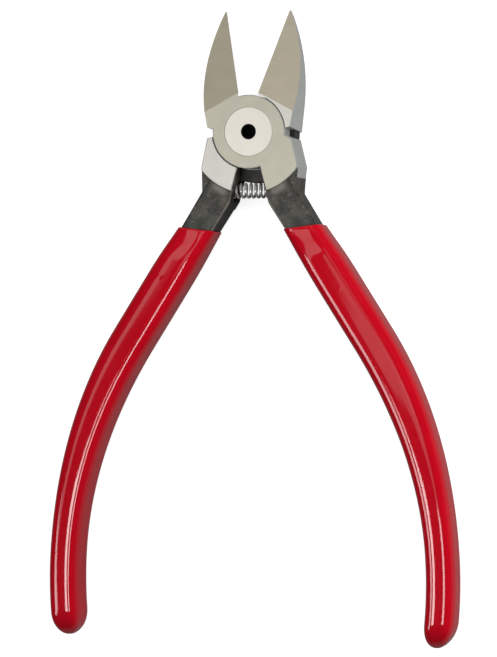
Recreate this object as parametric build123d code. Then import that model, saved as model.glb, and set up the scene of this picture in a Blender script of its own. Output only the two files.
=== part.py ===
from build123d import *

import os
from math import cos, radians, sin, tan

# Sprue nippers: two crossed steel levers on one rivet, a coil return spring and dipped grips.
# Millimetres and degrees. +Z points out of the front (flush-cutting) face, +Y towards the jaw
# tips, and the origin is on the rivet's axis at the rear face. Every piece is drawn as if it
# belonged to the front lever with the tool closed: jaw at -X, handle at +X, seam on the YZ
# plane. The rear lever's pieces are then mirrored, and each side is turned to the relaxed pose.

# ---- pose ----
half_opening = 14.75            # each lever, from closed to relaxed

# ---- head ----
head_thickness = 10.5
lap_height = head_thickness / 2
lap_clearance = 0.02            # each side of the plane where the two laps slide
disc_radius = 9.0               # round lap of each lever
recess_radius = 9.25            # pocket in the other lever for that lap
cheek_radius = 15.05            # round lower end of both ground cheeks
cheek_seam = 0.6                # from the seam plane to a cheek's inner side
cheek_foot = (7.75, -16.8)      # waist below the cheek
front_cheek = ((8.3, -2.95), (9.85, -4.25), (9.7, -11.4))
rear_cheek = ((8.3, -3.35), (9.7, -4.1), (9.3, -11.3))
web_radius = 12.15              # rear lap's apron, which closes the space under the front lap
web_sweep = 49.0
web_start = -85.0
web_side_radius = 10.4          # the same apron round to the rear lever's own jaw
web_side_sweep = 65.0
web_relief_radius = 12.45       # room for that apron behind the front lever's cheek
web_relief_start = -98.0
web_relief_sweep = 54.0
web_side_relief_radius = 10.65
edge_break = 0.2                # chamfer round the ground faces

# ---- jaws ----
jaw_tip = (-0.4, 31.3)
jaw_seam = 0.01
jaw_front = ((-6.05, 22.4), (-9.37, 8.6))       # bulge and shoulder at the front face
jaw_rear = ((-5.65, 22.4), (-9.5, 9.7))         # and at the rear face
heel_front = ((-9.7, 3.7), (-8.3, 3.0))         # the jaw's foot at the front face
front_heel_rear = ((-10.2, 3.7), (-8.3, 3.0))
rear_heel_rear = ((-10.5, 3.0), (-8.3, 2.6))
face_line_y = 9.86              # where the sloping flush face starts, on the seam
face_line_turn = 13.75          # that line falls away from square by this much
face_slope = 25.3
edge_land = 0.12
edge_bevel = 50.0               # from the vertical, just behind the cutting edge
edge_bevel_depth = 1.0
relief_angle = 12.0             # the rest of the jaw's inner side

# ---- necks and tangs ----
neck_bottom = 0.5
neck_top = 9.9
neck_seam = 0.3
neck_corners = ((1.0, -19.6), (neck_seam, -17.4))
tang_mid_z = 5.9
tang_start = (4.9, -20.0)
tang_angle = 17.5               # from -Y, closed
tang_lead = 7.0                 # how far the tang reaches back into the neck
tang_straight = 38.2
tang_bend_radius = 110.5
tang_bend_sweep = 37.0
tang_root = (7.7, 8.2)          # width and height in the neck
tang_end = (4.4, 7.4)
tang_corner = 0.6

# ---- grips ----
front_dip_y = -24.8             # where the dip lines cross the seam plane, closed
rear_dip_y = -25.3
dip_turn = -7.5                 # their slant, closed
grip_top = 8.5                  # widths, from the dip line down
grip_wide = 9.8
grip_narrow = 7.4
grip_height = 11.8
grip_corner = 2.7
front_grip_sweep = 40.3         # the bend as far as the closed end
rear_grip_sweep = 39.6
grip_lead = -2.0                # the dip starts this far behind the tang's datum
grip_slim_share = 0.75          # the bend's share over which it slims
grip_end_share = 0.08           # the rounded end's share of the bend

# ---- rivet ----
rivet_head_radius = 6.0
rivet_head_height = 2.4
rivet_shank_radius = 3.5
rivet_tail_radius = 4.6
rivet_tail_height = 1.1
rivet_bore_radius = 1.82
rivet_bore_depth = 6.0
rivet_running = 0.03

# ---- return spring ----
spring_y = -14.15
spring_radius = 1.61            # to the middle of the wire
spring_wire = 0.68
spring_pitch = 1.15
spring_turns = 11.0
pocket_y = -15.0                # closed
pocket_floor_x = 4.0            # from the seam plane
pocket_radius = 2.5

stand_up = (Align.CENTER, Align.CENTER, Align.MIN)


def polygon_prism(points, bottom, top):
    """A straight-sided prism on a closed outline."""
    return extrude(Pos(0, 0, bottom) * make_face(Polyline(*points, close=True)), top - bottom)


def disc(radius, bottom, top):
    """A round plate on the rivet's axis."""
    return Pos(0, 0, bottom) * Cylinder(radius, top - bottom, align=stand_up)


def ring_segment(radius, start, sweep, bottom, top):
    """A pie piece about the rivet's axis, from start counterclockwise."""
    pie = Cylinder(radius, top - bottom, arc_size=sweep, align=(Align.NONE, Align.NONE, Align.MIN))
    return Pos(0, 0, bottom) * Rot(0, 0, start) * pie


def jaw_outline(height, bulge, shoulder, heel, heel_inner):
    """The leaf-shaped outline of a jaw at one height."""
    seam_top = (-jaw_seam, jaw_tip[1])
    seam_foot = (-jaw_seam, heel_inner[1])
    edges = [
        ThreePointArc(jaw_tip, bulge, shoulder),
        Line(shoulder, heel),
        Line(heel, heel_inner),
        Line(heel_inner, seam_foot),
        Line(seam_foot, seam_top),
        Line(seam_top, jaw_tip),
    ]
    return Pos(0, 0, height) * make_face(edges)


def jaw(heel_rear):
    """A jaw: flared flank, sloping flush face, and an inner side ground back from the edge."""
    rear_outline = jaw_outline(0, *jaw_rear, *heel_rear)
    front_outline = jaw_outline(head_thickness, *jaw_front, *heel_front)
    blank = loft([rear_outline, front_outline], ruled=True)
    slope = tan(radians(face_slope))
    across = slope * sin(radians(face_line_turn))
    along = slope * cos(radians(face_line_turn))
    flush = Plane(origin=(0, face_line_y, head_thickness), z_dir=(-across, along, 1))
    blank = split(blank, bisect_by=flush, keep=Keep.BOTTOM)
    edge_z = head_thickness - edge_land
    bevel_x = edge_bevel_depth * tan(radians(edge_bevel))
    bevelled = ground(blank, edge_bevel, -jaw_seam, edge_z, along)
    return bevelled + ground(blank, relief_angle, -jaw_seam - bevel_x, edge_z - edge_bevel_depth, along)


def ground(blank, angle, start_x, start_z, fall):
    """A jaw cut back from a line that runs beside its cutting edge."""
    turn = radians(angle)
    outward = (cos(turn), -fall * sin(turn), -sin(turn))
    side = Plane(origin=(start_x, face_line_y, start_z), z_dir=outward)
    return split(blank, bisect_by=side, keep=Keep.BOTTOM)


def tang_path(lead, sweep):
    """Centre line of a tang: a straight run, then one long bend towards the other handle."""
    turn = radians(tang_angle)
    along = Vector(sin(turn), -cos(turn))
    datum = Vector(*tang_start)
    bend = datum + along * tang_straight
    return Line(datum - along * lead, bend), JernArc(bend, along, tang_bend_radius, -sweep)


def section(line, where, width, height, corner):
    """A rounded rectangle square to the tang's centre line."""
    point = line @ where
    along = line % where
    across = (-along.Y, along.X, 0)
    plane = Plane(origin=(point.X, point.Y, tang_mid_z), x_dir=across, z_dir=along)
    return plane * RectangleRounded(width, height, corner)


def tang():
    """The steel bar of a handle, tapering towards its end."""
    straight, bend = tang_path(tang_lead, tang_bend_sweep)
    stations = ((straight, 0), (straight, 0.5), (straight, 1), (bend, 0.35), (bend, 0.7), (bend, 1))
    sections = []
    for count, (line, where) in enumerate(stations):
        share = count / (len(stations) - 1)
        width = tang_root[0] + (tang_end[0] - tang_root[0]) * share
        height = tang_root[1] + (tang_end[1] - tang_root[1]) * share
        sections.append(section(line, where, width, height, tang_corner))
    return loft(sections)


def grip_sections(stations):
    """Sections of a grip, each given as its place, width and shrinkage."""
    return [
        section(line, where, width * scale, grip_height * scale, grip_corner * scale)
        for line, where, width, scale in stations
    ]


def grip(dip_y, bend_sweep):
    """A dipped sleeve: swollen below its top, slimmer along the bend, closed at the end."""
    straight, bend = tang_path(grip_lead, bend_sweep)
    last = 1 - grip_end_share
    sleeve = [(straight, 0, grip_top, 1), (straight, 0.55, grip_wide, 1), (straight, 1, grip_wide, 1)]
    for share in (0.2, 0.4, 0.6, 0.8, 1):
        slimming = min(share / grip_slim_share, 1)
        eased = slimming * slimming * (3 - 2 * slimming)
        width = grip_wide + (grip_narrow - grip_wide) * eased
        sleeve.append((bend, last * share, width, 1))
    closing = ((1, 1), (0.65, 0.94), (0.35, 0.76), (0.12, 0.48), (0, 0.2))
    end = [(bend, 1 - grip_end_share * rest, grip_narrow, scale) for rest, scale in closing]
    body = loft(grip_sections(sleeve)) + loft(grip_sections(end), ruled=True)
    above = Box(80, 80, 80, align=(Align.CENTER, Align.MIN, Align.CENTER))
    above = Pos(0, dip_y, 0) * Rot(0, 0, dip_turn) * above
    return body - above - tang()


def broken(solid):
    """A solid with the edges round its front face broken."""
    return chamfer(solid.faces().sort_by(Axis.Z)[-1].outer_wire().edges(), edge_break)


def cheek(corners):
    """A full-thickness ground cheek that ends on a round."""
    points = [(cheek_seam, -0.5), *corners, cheek_foot, (cheek_seam, cheek_foot[1])]
    block = polygon_prism(points, 0, head_thickness)
    return broken(block & disc(cheek_radius, 0, head_thickness))


def neck(corners):
    """Thinner steel between the cheek and the tang."""
    points = [(neck_seam, -11.0), corners[-1], cheek_foot, (7.2, -19.0), *neck_corners]
    return polygon_prism(points, neck_bottom, neck_top)


def handle(corners):
    """Cheek, neck and tang of one lever, with the spring's pocket."""
    trim = Pos(neck_seam, 0, 0) * Box(40, 80, 40, align=(Align.MAX, Align.CENTER, Align.CENTER))
    hole = Cylinder(pocket_radius, pocket_floor_x, align=stand_up)
    pocket = Pos(0, pocket_y, lap_height) * Rot(0, 90, 0) * hole
    return cheek(corners) + neck(corners) + (tang() - trim) - pocket


def front_lever():
    """Left jaw and right handle, with the lap that holds the rivet's head."""
    lap_floor = lap_height + lap_clearance
    blade = jaw(front_heel_rear) - disc(recess_radius, 0, lap_floor)
    relief = ring_segment(web_relief_radius, web_relief_start, web_relief_sweep, 0, lap_floor)
    tail = handle(front_cheek) - relief - disc(web_side_relief_radius, 0, lap_floor)
    whole = blade + tail + broken(disc(disc_radius, lap_floor, head_thickness))
    counterbore = head_thickness - rivet_head_height - rivet_running
    whole -= disc(rivet_shank_radius + rivet_running, 0, head_thickness)
    whole -= disc(rivet_head_radius + rivet_running, counterbore, head_thickness)
    return whole


def rear_lever():
    """Right jaw and left handle, with the apron and the countersink for the rivet's tail."""
    lap_top = lap_height - lap_clearance
    upper = disc(recess_radius, lap_top, head_thickness)
    whole = jaw(rear_heel_rear) + handle(rear_cheek) - upper
    low = web_start - web_sweep
    web = ring_segment(web_radius, low, web_sweep, 0, lap_top)
    side_web = ring_segment(web_side_radius, low - web_side_sweep, web_side_sweep, 0, lap_top)
    whole = whole + disc(disc_radius, 0, lap_top) + web + side_web
    whole -= disc(rivet_shank_radius, 0, head_thickness)
    return whole - rivet_tail()


def rivet_tail():
    """The rivet's rear end, spread into a countersink."""
    return Cone(rivet_tail_radius, rivet_shank_radius, rivet_tail_height, align=stand_up)


def rivet():
    """Flush-headed pivot rivet with a blind bore in its head."""
    body = disc(rivet_shank_radius, 0, head_thickness) + rivet_tail()
    body += disc(rivet_head_radius, head_thickness - rivet_head_height, head_thickness)
    return body - disc(rivet_bore_radius, head_thickness - rivet_bore_depth, head_thickness)


def return_spring():
    """Helical compression spring lying across the handles, at its relaxed length."""
    height = spring_pitch * spring_turns
    coil = Helix(spring_pitch, height, spring_radius, center=(-height / 2, spring_y, lap_height), direction=(1, 0, 0))
    wire = Plane(origin=coil @ 0, z_dir=coil % 0) * Circle(spring_wire / 2)
    return sweep(wire, path=coil, is_frenet=True)


def main():
    os.makedirs("parts", exist_ok=True)
    front = Rot(0, 0, half_opening)
    pieces = {
        "front_lever": front * front_lever(),
        "front_grip": front * grip(front_dip_y, front_grip_sweep),
        "rear_lever": mirror(front * rear_lever(), about=Plane.YZ),
        "rear_grip": mirror(front * grip(rear_dip_y, rear_grip_sweep), about=Plane.YZ),
        "pivot_rivet": rivet(),
        "return_spring": return_spring(),
    }
    for name, piece in pieces.items():
        export_step(piece, f"parts/{name}.step")


main()
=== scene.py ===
from math import cos, exp, pi, radians, sin

import bpy
from mathutils import Matrix, Vector, noise


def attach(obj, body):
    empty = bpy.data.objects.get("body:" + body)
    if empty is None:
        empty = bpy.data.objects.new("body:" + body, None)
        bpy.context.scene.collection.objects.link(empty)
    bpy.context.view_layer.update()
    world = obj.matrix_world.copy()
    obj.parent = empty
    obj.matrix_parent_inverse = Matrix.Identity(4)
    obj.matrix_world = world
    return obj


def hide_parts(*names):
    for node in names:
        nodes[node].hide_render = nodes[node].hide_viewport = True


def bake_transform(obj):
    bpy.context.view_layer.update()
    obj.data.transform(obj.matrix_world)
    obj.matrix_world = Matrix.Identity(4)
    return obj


# Looks of the sprue nippers. Lengths are in metres, in the frame's own axes: +Z out of the flush
# face, +Y towards the jaw tips, origin on the rivet's axis at the rear face. Materials are the
# exception: lever_steel measures places in millimetres, and rivet_steel its radius. "Closed"
# coordinates are those of the front lever with the tool shut; the rear lever is their mirror
# image, and each side is turned by HALF_OPENING to the relaxed pose.

MM = 0.001

# ---- the tool's own sizes ----
HALF_OPENING = radians(14.75)
TANG_MIDDLE = 5.9 * MM
TANG_DATUM = Vector((4.9 * MM, -20.0 * MM))
TANG_HEADING = radians(-72.5)
TANG_WIDTH = 7.3 * MM
TANG_HEIGHT = 8.1 * MM
TANG_SLOPE = 0.3153                 # sideways per length along the seam
STRAIGHT_LENGTH = 38.2 * MM
BEND_RADIUS = 110.5 * MM

# ---- dipped grips ----
GRIP_HEIGHT = 11.8 * MM
GRIP_WIDE = 9.8 * MM
GRIP_NARROW = 7.4 * MM
GRIP_TOP = 8.5 * MM
GRIP_FULL_AT = 21.0 * MM            # along the tang, from its datum
GRIP_SLIM = 55.2 * MM               # length of the bend over which the sleeve slims
GRIP_END = 6.2 * MM                 # length of the rounded end
GRIP_SQUARENESS = 4.2               # exponent of the superellipse section
FRONT_BEND = 77.72 * MM             # length of each bend as far as the closed end
REAR_BEND = 76.37 * MM
FRONT_DIP = -24.8 * MM              # where the dip lines cross the seam plane, closed
REAR_DIP = -25.3 * MM
DIP_TURN = radians(-7.5)            # their slant, closed
DIP_SETTLES = 15.0 * MM             # length over which sections turn from the dip line to square
GRIP_STEP = 0.45 * MM               # between rings along the sleeve
GRIP_AROUND = 96                    # points in a ring
GRIP_END_RINGS = 14
GRIP_END_BLUNTNESS = 2.1            # exponent of the rounded end
LIP = (                             # share of the coat's thickness, and distance along, in mm
    (-0.25, 0.35), (0.0, 0.12), (0.2, 0.02), (0.55, 0.0), (0.82, 0.1), (0.96, 0.28), (1.0, 0.5))
LIP_THINNING = 0.09                 # of the height, at the lip
LIP_THIN_LENGTH = 9 * MM
TANG_SQUARENESS = 9
COAT_SINK = 0.04 * MM               # keeps the wavy coat inside the CAD box
BROAD_WAVE = (60, 0.022 * MM)       # noise cells per metre, and height
FINE_WAVE = (190, 0.002 * MM)
PIMPLE_HEIGHT = 0.15                # of a pimple's size
PIMPLE_SPREAD = 0.5

# ---- rivet ----
RIVET_SEGMENTS = 128

# ---- return spring ----
SPRING_Y = -14.15 * MM
SPRING_Z = 5.25 * MM
SPRING_RADIUS = 1.61 * MM           # to the middle of the wire
SPRING_WIRE = 0.68 * MM
SPRING_LENGTH = 12.6 * MM           # between the wire's middles at both ends
SPRING_TURNS = 11
SPRING_END_PITCH = 0.74 * MM        # of the closed turn at each end
SPRING_STEPS = 48                   # rings in a turn
SPRING_AROUND = 16                  # points round the wire


# ------------------------------------------------------------------ mesh helpers

def mesh_object(name, vertices, faces, smooth=True):
    """A new mesh object from points and faces."""
    mesh = bpy.data.meshes.new(name)
    mesh.from_pydata([tuple(v) for v in vertices], [], faces)
    mesh.validate()
    mesh.polygons.foreach_set("use_smooth", [smooth] * len(mesh.polygons))
    mesh.update()
    thing = bpy.data.objects.new(name, mesh)
    bpy.context.scene.collection.objects.link(thing)
    return thing


def skin(rows, closed_start=False, closed_end=False):
    """Faces between rows of equal length that each go once around, with optional end caps."""
    around = len(rows[0])
    vertices = [point for row in rows for point in row]
    faces = []
    for r in range(len(rows) - 1):
        for c in range(around):
            n = (c + 1) % around
            low, high = r * around, (r + 1) * around
            faces.append((low + c, low + n, high + n, high + c))
    last = (len(rows) - 1) * around
    if closed_start:
        faces.append(tuple(reversed(range(around))))
    if closed_end:
        faces.append(tuple(range(last, last + around)))
    return vertices, faces


def smooth_step(low, high, value):
    """0 below low, 1 above high, and a smooth turn between."""
    share = min(max((value - low) / (high - low), 0.0), 1.0)
    return share * share * (3 - 2 * share)


# ------------------------------------------------------------------ grips

def grip_line(distance):
    """Point and heading of a tang's centre line, closed, at a distance from its datum."""
    if distance <= STRAIGHT_LENGTH:
        heading = TANG_HEADING
        point = TANG_DATUM + Vector((cos(heading), sin(heading))) * distance
        return point, heading
    heading = TANG_HEADING - (distance - STRAIGHT_LENGTH) / BEND_RADIUS
    start = TANG_DATUM + Vector((cos(TANG_HEADING), sin(TANG_HEADING))) * STRAIGHT_LENGTH
    centre = start + Vector((sin(TANG_HEADING), -cos(TANG_HEADING))) * BEND_RADIUS
    point = centre - Vector((sin(heading), -cos(heading))) * BEND_RADIUS
    return point, heading


def superellipse(angle, half_width, half_height, exponent):
    """A point of a rounded, slightly crowned section."""
    across = abs(cos(angle)) / half_width
    up = abs(sin(angle)) / half_height
    reach = (across ** exponent + up ** exponent) ** (-1 / exponent)
    return Vector((cos(angle) * reach, sin(angle) * reach))


def grip_width(distance):
    """Width of the sleeve: swollen below its top, slim along the bend."""
    swell = smooth_step(0, GRIP_FULL_AT, distance)
    slim = smooth_step(0, GRIP_SLIM, distance - STRAIGHT_LENGTH)
    return GRIP_TOP + (GRIP_WIDE - GRIP_TOP) * swell - (GRIP_WIDE - GRIP_NARROW) * slim


def grip_mesh(name, dip, bend, lean, mirrored, pimples, seed):
    """A dipped sleeve as one skin: blunt lip, wavy coat, pimples and a rounded end that leans."""
    along = Vector((cos(TANG_HEADING), sin(TANG_HEADING)))
    square = Vector((-sin(TANG_HEADING), cos(TANG_HEADING)))
    upright = Vector((-sin(DIP_TURN), cos(DIP_TURN)))

    def dip_distance(across):
        point = TANG_DATUM + square * across
        return (dip * upright.y - point.dot(upright)) / along.dot(upright)

    start = dip_distance(0)
    finish = STRAIGHT_LENGTH + bend
    stations = [(share, offset * MM, 1.0) for share, offset in LIP]
    distance = LIP[-1][1] * MM
    while distance < finish - GRIP_END - start - GRIP_STEP:
        distance += GRIP_STEP
        stations.append((1.0, distance, 1.0))
    end_start = finish - GRIP_END - start
    for count in range(1, GRIP_END_RINGS + 1):
        share = sin(count / (GRIP_END_RINGS + 1) * pi / 2)
        scale = (1 - share ** GRIP_END_BLUNTNESS) ** 0.5
        stations.append((1.0, end_start + GRIP_END * share, scale))
    rows = []
    for share, offset, scale in stations:
        row = []
        middle = start + offset
        half_width = grip_width(middle) * scale / 2
        thin = 1 - LIP_THINNING * (1 - smooth_step(0, LIP_THIN_LENGTH, offset))
        half_height = GRIP_HEIGHT * scale / 2 * thin
        settle = 1 - smooth_step(0, DIP_SETTLES, offset)
        ending = smooth_step(finish - 2 * GRIP_END, finish, middle)
        for count in range(GRIP_AROUND):
            angle = 2 * pi * count / GRIP_AROUND
            outer = superellipse(angle, half_width, half_height, GRIP_SQUARENESS)
            if share < 1:
                inner = superellipse(angle, TANG_WIDTH / 2, TANG_HEIGHT / 2, TANG_SQUARENESS)
                outer = inner + (outer - inner) * share
            slant = (dip_distance(outer.x) - start) * settle
            place = middle + slant + lean * outer.x * ending
            point, heading = grip_line(place)
            across = Vector((-sin(heading), cos(heading)))
            spot = Vector((*(point + across * outer.x), TANG_MIDDLE + outer.y))
            if share == 1:
                broad = noise.noise(spot * BROAD_WAVE[0] + Vector((seed, 0, 0)))
                fine = noise.noise(spot * FINE_WAVE[0] + Vector((0, seed, 0)))
                push = BROAD_WAVE[1] * (broad - 1) + FINE_WAVE[1] * (fine - 1) - COAT_SINK
                for pimple_at, pimple_across, size in pimples:
                    off = (place - pimple_at) ** 2 + (outer.x - pimple_across) ** 2
                    if outer.y > 0:
                        push += PIMPLE_HEIGHT * size * exp(-off / (size * size * PIMPLE_SPREAD))
                ray = Vector((*(across * outer.x), outer.y)).normalized()
                spot += ray * push
            spot = Matrix.Rotation(HALF_OPENING, 3, "Z") @ spot
            if mirrored:
                spot.x = -spot.x
            row.append(spot)
        rows.append(row)
    vertices, faces = skin(rows, closed_end=True)
    if mirrored:
        faces = [tuple(reversed(face)) for face in faces]
    return mesh_object(name, vertices, faces)


# ------------------------------------------------------------------ rivet and spring

def lathe(name, profile, segments):
    """A turned piece about +Z from a list of (radius, height), ends on the axis."""
    rows = []
    turns = [2 * pi * c / segments for c in range(segments)]
    for radius, height in profile[1:-1]:
        rows.append([Vector((radius * cos(turn), radius * sin(turn), height)) for turn in turns])
    vertices, faces = skin(rows)
    last = (len(rows) - 1) * segments
    first_hub, last_hub = len(vertices), len(vertices) + 1
    vertices += [Vector((0, 0, profile[0][1])), Vector((0, 0, profile[-1][1]))]
    faces += [(first_hub, (c + 1) % segments, c) for c in range(segments)]
    faces += [(last_hub, last + c, last + (c + 1) % segments) for c in range(segments)]
    return mesh_object(name, vertices, faces, smooth=False)


def rivet_mesh():
    """Pivot rivet: flush head with a broken rim, blind bore, shank and spread tail."""
    profile = [(0, 4.5), (0.9, 4.5), (1.82, 5.1), (1.82, 10.38), (1.94, 10.5), (4.0, 10.5),
               (5.88, 10.5), (5.97, 10.44), (6.0, 10.33), (6.0, 8.1), (3.5, 8.1), (3.5, 1.1),
               (4.6, 0.0), (0.5, 0.0), (0, 0.0)]
    return lathe("pivot_rivet_turned", [(r * MM, z * MM) for r, z in profile], RIVET_SEGMENTS)


def spring_mesh():
    """Return spring: round wire, with a closed turn at each end."""
    steps = SPRING_TURNS * SPRING_STEPS
    open_turns = SPRING_TURNS - 2
    open_pitch = (SPRING_LENGTH - 2 * SPRING_END_PITCH) / open_turns
    climb = open_pitch / (2 * pi * SPRING_RADIUS)
    rows = []
    for step in range(steps + 1):
        turn = step / steps * SPRING_TURNS
        along = min(turn, 1) * SPRING_END_PITCH
        along += min(max(turn - 1, 0), open_turns) * open_pitch
        along += max(turn - 1 - open_turns, 0) * SPRING_END_PITCH
        angle = turn * 2 * pi
        out = Vector((0, cos(angle), sin(angle)))
        side = out.cross(Vector((climb, -sin(angle), cos(angle))).normalized())
        centre = Vector((along - SPRING_LENGTH / 2, SPRING_Y, SPRING_Z)) + out * SPRING_RADIUS
        row = []
        for count in range(SPRING_AROUND):
            around = 2 * pi * count / SPRING_AROUND
            row.append(centre + (out * cos(around) + side * sin(around)) * SPRING_WIRE / 2)
        rows.append(row)
    vertices, faces = skin(rows, closed_start=True, closed_end=True)
    return mesh_object("return_spring_wound", vertices, faces)


# ------------------------------------------------------------------ materials

class Shader:
    """A material's node tree, with short calls for the nodes these finishes use."""

    def __init__(self, name):
        self.material = bpy.data.materials.new(name)
        self.material.use_nodes = True
        self.tree = self.material.node_tree
        self.surface = self.tree.nodes["Principled BSDF"]

    def add(self, kind, links=None, **settings):
        node = self.tree.nodes.new(kind)
        for key, value in settings.items():
            setattr(node, key, value)
        for key, value in (links or {}).items():
            self.join(value, node.inputs[key])
        return node

    def join(self, value, socket):
        if isinstance(value, bpy.types.NodeSocket):
            self.tree.links.new(value, socket)
        else:
            socket.default_value = value

    def math(self, operation, *values):
        links = dict(enumerate(values))
        return self.add("ShaderNodeMath", links, operation=operation).outputs[0]

    def step(self, value, low, high):
        """0 below low, 1 above high; low above high turns it round."""
        links = {"Value": value, "From Min": low, "From Max": high}
        return self.add("ShaderNodeMapRange", links, interpolation_type="SMOOTHSTEP").outputs[0]

    def mix(self, share, first, second):
        node = self.add("ShaderNodeMix", data_type="RGBA")
        self.join(share, node.inputs[0])
        self.join(first, node.inputs[6])
        self.join(second, node.inputs[7])
        return node.outputs[2]

    def blend(self, share, first, second):
        """The same mix for plain numbers."""
        node = self.add("ShaderNodeMix", data_type="FLOAT")
        self.join(share, node.inputs[0])
        self.join(first, node.inputs[2])
        self.join(second, node.inputs[3])
        return node.outputs[0]

    def mapped(self, vector, scale, turn=0.0):
        links = {"Vector": vector, "Scale": scale, "Rotation": (0, 0, turn)}
        return self.add("ShaderNodeMapping", links).outputs[0]

    def noise(self, vector, scale, detail=2.0, roughness=0.5):
        links = {"Vector": vector, "Scale": scale, "Detail": detail, "Roughness": roughness}
        return self.add("ShaderNodeTexNoise", links).outputs["Fac"]

    def bump(self, height, strength, distance):
        links = {"Height": height, "Strength": strength, "Distance": distance}
        return self.add("ShaderNodeBump", links).outputs[0]

    def coordinates(self):
        return self.add("ShaderNodeTexCoord").outputs


def lever_steel(name, mirrored, flat, facet, flank):
    """Ground head and jaws, black-oxide necks and tangs, told apart by place in millimetres."""
    s = Shader(name)

    def product(first, *others):
        for other in others:
            first = s.math("MULTIPLY", first, other)
        return first

    spots = s.coordinates()
    flip = -1 if mirrored else 1
    closed = s.mapped(spots["Object"], (1000 * flip, 1000, 1000), -HALF_OPENING)
    split = s.add("ShaderNodeSeparateXYZ", {0: closed}).outputs
    x, y, z = split[0], split[1], split[2]
    facing = s.add("ShaderNodeSeparateXYZ", {0: spots["Normal"]}).outputs[2]
    facing = s.math("ABSOLUTE", facing)
    radius = s.math("SQRT", s.math("ADD", product(x, x), product(y, y)))

    # the ground surfaces, brushed square to the seam
    streaks = s.noise(s.mapped(closed, (0.12, 5.0, 1.2)), 1.0, 3.0)
    clouds = s.noise(closed, 0.25, 2.0)
    is_flat = s.step(facing, 0.95, 0.985)
    is_face = s.step(facing, 0.75, 0.85)
    ground = s.mix(is_face, flank, s.mix(is_flat, facet, flat))
    shade = s.math("ADD", product(streaks, 0.22), product(clouds, 0.16))
    shade = s.math("ADD", shade, 0.81)
    ground = s.add("ShaderNodeVectorMath", {0: ground, 1: shade}, operation="MULTIPLY").outputs[0]

    # black oxide, mottled and rubbed
    patches = s.noise(closed, 0.42, 4.0, 0.6)
    grain = s.noise(closed, 3.2, 3.0, 0.6)
    low = s.step(y, -20.0, -27.0)
    brown = s.mix(low, (0.058, 0.048, 0.038, 1), (0.036, 0.048, 0.034, 1))
    tint = s.mix(s.step(patches, 0.35, 0.65), (0.020, 0.021, 0.017, 1), brown)
    smears = s.noise(closed, 0.9, 3.0, 0.6)
    rubbed = product(s.step(smears, 0.5, 0.75), s.step(grain, 0.35, 0.65))
    # lighter patch just under the cheek's round, and a painted highlight along the tang's inner
    # corner
    under = product(s.step(radius, 17.2, 15.8), s.step(x, 1.2, 2.4), s.step(x, 6.5, 4.5))
    under = product(under, s.step(patches, 0.25, 0.5))
    seam = s.math("ADD", x, product(s.math("ADD", y, 20.0), TANG_SLOPE))
    from_corner = s.math("ABSOLUTE", s.math("SUBTRACT", seam, 1.15))
    # painted highlight: a thin light line on the tang's inner top corner
    corner_highlight = product(s.step(z, 9.25, 9.6), s.step(from_corner, 0.4, 0.1))
    corner_highlight = product(corner_highlight, s.step(grain, 0.3, 0.5))
    # rubbed wear, the lighter patch under the round and the painted corner highlight all lift the
    # oxide towards one light tone
    wear_and_highlight = s.math("MAXIMUM", product(under, 0.75), product(corner_highlight, 0.8))
    wear_and_highlight = s.math("MAXIMUM", product(rubbed, 0.8), wear_and_highlight)
    oxide = s.mix(wear_and_highlight, tint, (0.17, 0.155, 0.135, 1))

    # where the oxide lies: outside the cheek's round, on its inner side, and on the lap's apron
    below = s.step(y, 0.5, 0.0)
    upright = product(s.step(facing, 0.6, 0.4), s.step(x, 8.6, 8.9))
    reach = s.math("SUBTRACT", radius, product(upright, 1.9))
    neck = product(s.step(reach, 15.0, 15.03), below)
    beside_lap = product(s.step(x, 1.3, 1.15), s.step(radius, 9.02, 9.1))
    inner = product(beside_lap, s.step(z, 10.3, 10.2), below)
    apron = s.blend(s.step(x, -8.0, -8.3), 12.4, 10.42)
    lap = product(s.step(z, 5.5, 5.3), s.step(y, 5.0, 4.5), beside_lap)
    lap = product(lap, s.math("LESS_THAN", radius, apron), s.step(z, 0.05, 0.1))
    black = s.math("MAXIMUM", neck, s.math("MAXIMUM", inner, lap))
    # painted shade: side walls near the seam and the lap's apron are darkened towards black,
    # where shade falls between the cheeks
    painted_shade = product(s.step(facing, 0.6, 0.3), s.step(seam, 2.2, 1.6))
    painted_shade = product(s.math("MAXIMUM", painted_shade, lap), 0.7)
    oxide = s.mix(painted_shade, oxide, (0.006, 0.006, 0.005, 1))

    s.join(s.mix(black, ground, oxide), s.surface.inputs["Base Color"])
    s.join(s.blend(black, 0.55, 0.2), s.surface.inputs["Metallic"])
    bright = s.blend(is_face, 0.36, s.blend(streaks, 0.30, 0.44))
    dull = s.blend(grain, 0.34, 0.5)
    s.join(s.blend(black, bright, dull), s.surface.inputs["Roughness"])
    relief = s.blend(black, streaks, grain)
    s.join(s.bump(relief, 0.25, 0.00003), s.surface.inputs["Normal"])
    return s.material


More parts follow.
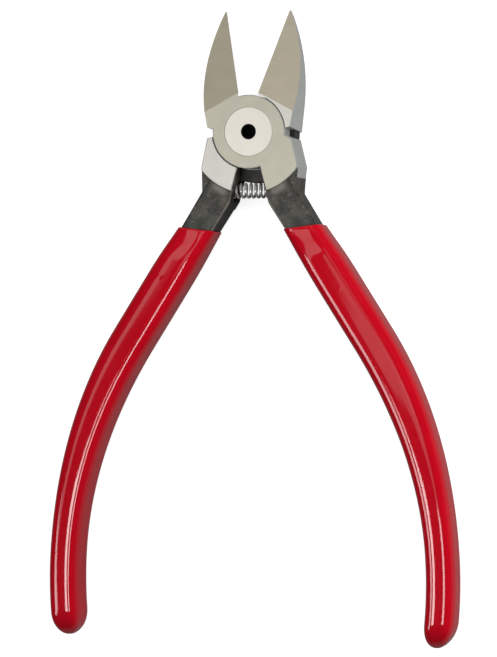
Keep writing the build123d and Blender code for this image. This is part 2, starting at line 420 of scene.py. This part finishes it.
def rivet_steel():
    """Fine turned head with its bore painted near-black as shade."""
    s = Shader("rivet_steel")
    spots = s.coordinates()["Object"]
    split = s.add("ShaderNodeSeparateXYZ", {0: spots}).outputs
    squares = [s.math("MULTIPLY", split[axis], split[axis]) for axis in (0, 1)]
    radius = s.math("MULTIPLY", s.math("SQRT", s.math("ADD", *squares)), 1000)
    rings = s.noise(s.add("ShaderNodeCombineXYZ", {0: radius}).outputs[0], 9.0, 3.0)
    clouds = s.noise(spots, 320.0, 2.0)
    tone = s.math("ADD", s.math("MULTIPLY", rings, 0.35), s.math("MULTIPLY", clouds, 0.65))
    bright = s.mix(tone, (0.70, 0.66, 0.59, 1), (0.80, 0.76, 0.69, 1))
    # painted shade: the bore's walls and bottom are near-black and dull, standing in for the dark
    # of the deep hole
    bore = s.math("MULTIPLY", s.step(radius, 1.88, 1.84), s.step(split[2], 0.001, 0.002))
    s.join(s.mix(bore, bright, (0.004, 0.004, 0.004, 1)), s.surface.inputs["Base Color"])
    s.join(s.blend(bore, 0.55, 0.0), s.surface.inputs["Metallic"])
    s.join(s.blend(bore, s.blend(rings, 0.34, 0.46), 0.8), s.surface.inputs["Roughness"])
    s.join(s.bump(rings, 0.12, 0.00002), s.surface.inputs["Normal"])
    return s.material


def spring_steel():
    """Bright plated wire with faint drawing marks."""
    s = Shader("spring_steel")
    spots = s.coordinates()["Object"]
    marks = s.noise(spots, 2200.0, 2.0)
    tone = s.mix(marks, (0.62, 0.61, 0.58, 1), (0.82, 0.81, 0.79, 1))
    s.join(tone, s.surface.inputs["Base Color"])
    s.surface.inputs["Metallic"].default_value = 0.7
    s.join(s.blend(marks, 0.14, 0.26), s.surface.inputs["Roughness"])
    return s.material


def dipped_pvc():
    """Glossy red dip with a faint orange-peel skin."""
    s = Shader("dipped_pvc")
    spots = s.coordinates()["Object"]
    broad = s.noise(spots, 55.0, 3.0)
    peel = s.noise(spots, 900.0, 2.0)
    red = s.mix(broad, (0.36, 0.0, 0.006, 1), (0.45, 0.002, 0.011, 1))
    s.join(red, s.surface.inputs["Base Color"])
    s.join(s.blend(broad, 0.045, 0.07), s.surface.inputs["Roughness"])
    s.join(s.bump(peel, 0.02, 0.00004), s.surface.inputs["Normal"])
    s.surface.inputs["IOR"].default_value = 1.5
    return s.material


def floor_finish():
    """Plain pale studio floor that the camera sees almost without shadows."""
    s = Shader("studio_floor")
    s.surface.inputs["Base Color"].default_value = (0.45, 0.45, 0.45, 1)
    s.surface.inputs["Roughness"].default_value = 0.9
    s.surface.inputs["Specular IOR Level"].default_value = 0.1
    s.surface.inputs["Emission Color"].default_value = (1, 1, 1, 1)
    s.surface.inputs["Emission Strength"].default_value = 0.8
    bounce = s.add("ShaderNodeBsdfDiffuse", {"Color": (0.23, 0.23, 0.23, 1)}).outputs[0]
    seen = s.add("ShaderNodeLightPath").outputs["Is Camera Ray"]
    both = s.add("ShaderNodeMixShader", {0: seen, 1: bounce, 2: s.surface.outputs[0]}).outputs[0]
    s.tree.links.new(both, s.tree.nodes["Material Output"].inputs["Surface"])
    return s.material


def dress(thing, material):
    """Gives a piece one material."""
    thing.data.materials.clear()
    thing.data.materials.append(material)


# ------------------------------------------------------------------ studio

FLOOR_HALF = 3.0
FLOOR_LEVEL = -0.0002               # just under the tool's undersides
LIGHT_TARGET = Vector((0, -0.05, 0))
SKY_ELSEWHERE, SKY_MIRRORED = 0.15, 0.05
CAMERA_PLACE = (0.19765, -0.04785, 0.78571)
CAMERA_TILT = radians(14.3)         # about +Y, as solved from the photo
CAMERA_LENS, CAMERA_SENSOR = 180.4, 36.0        # in millimetres


def panel(name, place, width, length, radiance, turn=0.0, mirrored_in=True):
    """A soft rectangular light that faces the tool and that the camera doesn't see."""
    outward = (Vector(place) - LIGHT_TARGET).normalized()
    side = Vector((0, 1, 0)).cross(outward).normalized()
    facing = Matrix((side, outward.cross(side), outward)).transposed().to_4x4()
    data = bpy.data.lights.new(name, "AREA")
    data.shape = "RECTANGLE"
    data.size = width
    data.size_y = length
    data.energy = radiance * pi * width * length
    light = bpy.data.objects.new(name, data)
    light.matrix_world = Matrix.Translation(place) @ facing @ Matrix.Rotation(turn, 4, "Z")
    light.visible_camera = False
    light.visible_glossy = mirrored_in
    bpy.context.scene.collection.objects.link(light)
    return light


def studio():
    """Floor, lights, world and camera."""
    half = FLOOR_HALF
    corners = [(-half, -half), (half, -half), (half, half), (-half, half)]
    corners = [(x, y, FLOOR_LEVEL) for x, y in corners]
    floor = mesh_object("studio_floor", corners, [(0, 1, 2, 3)], False)
    dress(floor, floor_finish())

    world = bpy.data.worlds.new("studio")
    bpy.context.scene.world = world
    world.use_nodes = True
    tree = world.node_tree
    back = tree.nodes["Background"]
    back.inputs["Color"].default_value = (1, 1, 1, 1)
    path = tree.nodes.new("ShaderNodeLightPath")
    glossy = tree.nodes.new("ShaderNodeMapRange")
    glossy.inputs["To Min"].default_value = SKY_ELSEWHERE
    glossy.inputs["To Max"].default_value = SKY_MIRRORED
    tree.links.new(path.outputs["Is Glossy Ray"], glossy.inputs["Value"])
    seen = tree.nodes.new("ShaderNodeMath")
    seen.operation = "MAXIMUM"
    tree.links.new(glossy.outputs[0], seen.inputs[0])
    tree.links.new(path.outputs["Is Camera Ray"], seen.inputs[1])
    tree.links.new(seen.outputs[0], back.inputs["Strength"])

    panel("slanted_strip", (-0.34, -0.05, 0.8), 0.09, 0.55, 1.5, turn=radians(-42))
    panel("left_window", (-0.50, -0.28, 0.72), 0.20, 0.34, 6.5, turn=radians(-30))
    panel("overhead_panel", (0.02, 0.08, 0.8), 0.13, 0.26, 0.5)
    panel("right_window", (-0.05, -0.04, 0.8), 0.20, 0.12, 1.1, turn=radians(-15))
    panel("left_lamp", (-0.20, -0.19, 0.8), 0.10, 0.12, 13.0)
    panel("right_lamp", (0.01, -0.185, 0.8), 0.10, 0.13, 10.0)
    panel("head_panel", (-0.20, 0.60, 0.52), 0.9, 0.4, 0.65)
    panel("top_fill", (0.12, 0.12, 0.25), 0.22, 0.22, 4.6, mirrored_in=False)
    panel("side_fill", (0.36, -0.05, 0.085), 0.25, 0.15, 9.5, mirrored_in=False)

    lens = bpy.data.cameras.new("camera")
    lens.lens = CAMERA_LENS
    lens.sensor_width = CAMERA_SENSOR
    lens.clip_start = 0.01
    camera = bpy.data.objects.new("camera", lens)
    camera.location = CAMERA_PLACE
    camera.rotation_euler = (0, CAMERA_TILT, 0)
    bpy.context.scene.collection.objects.link(camera)
    bpy.context.scene.camera = camera
    bpy.context.scene.view_settings.view_transform = "Standard"


# ------------------------------------------------------------------ the build

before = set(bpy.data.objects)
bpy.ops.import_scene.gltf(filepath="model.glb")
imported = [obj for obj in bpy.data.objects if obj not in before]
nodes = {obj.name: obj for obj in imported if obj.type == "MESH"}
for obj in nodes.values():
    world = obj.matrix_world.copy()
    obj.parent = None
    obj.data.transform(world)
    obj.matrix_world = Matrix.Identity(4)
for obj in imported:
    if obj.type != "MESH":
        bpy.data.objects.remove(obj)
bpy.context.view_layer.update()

front_steel = lever_steel(
    "front_lever_steel", False,
    flat=(0.49, 0.465, 0.38, 1), facet=(0.48, 0.43, 0.325, 1), flank=(0.51, 0.53, 0.49, 1))
rear_steel = lever_steel(
    "rear_lever_steel", True,
    flat=(0.61, 0.59, 0.54, 1), facet=(0.47, 0.425, 0.325, 1), flank=(0.54, 0.56, 0.53, 1))
dress(nodes["front_lever"], front_steel)
dress(nodes["rear_lever"], rear_steel)

red = dipped_pvc()
front_grip = grip_mesh(
    "front_grip_dipped", FRONT_DIP, FRONT_BEND, lean=-0.25, mirrored=False,
    pimples=((24 * MM, 0.3 * MM, 0.3 * MM),), seed=3.0)
rear_grip = grip_mesh(
    "rear_grip_dipped", REAR_DIP, REAR_BEND, lean=0.0, mirrored=True,
    pimples=((21 * MM, 1.2 * MM, 0.3 * MM),), seed=8.0)
grips = ((front_grip, "front_grip", "front_half"), (rear_grip, "rear_grip", "rear_half"))
for grip, node, body in grips:
    dress(grip, red)
    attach(grip, body)
    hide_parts(node)

rivet = rivet_mesh()
dress(rivet, rivet_steel())
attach(rivet, "rear_half")
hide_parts("pivot_rivet")

spring = spring_mesh()
dress(spring, spring_steel())
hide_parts("return_spring")
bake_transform(spring)

studio()
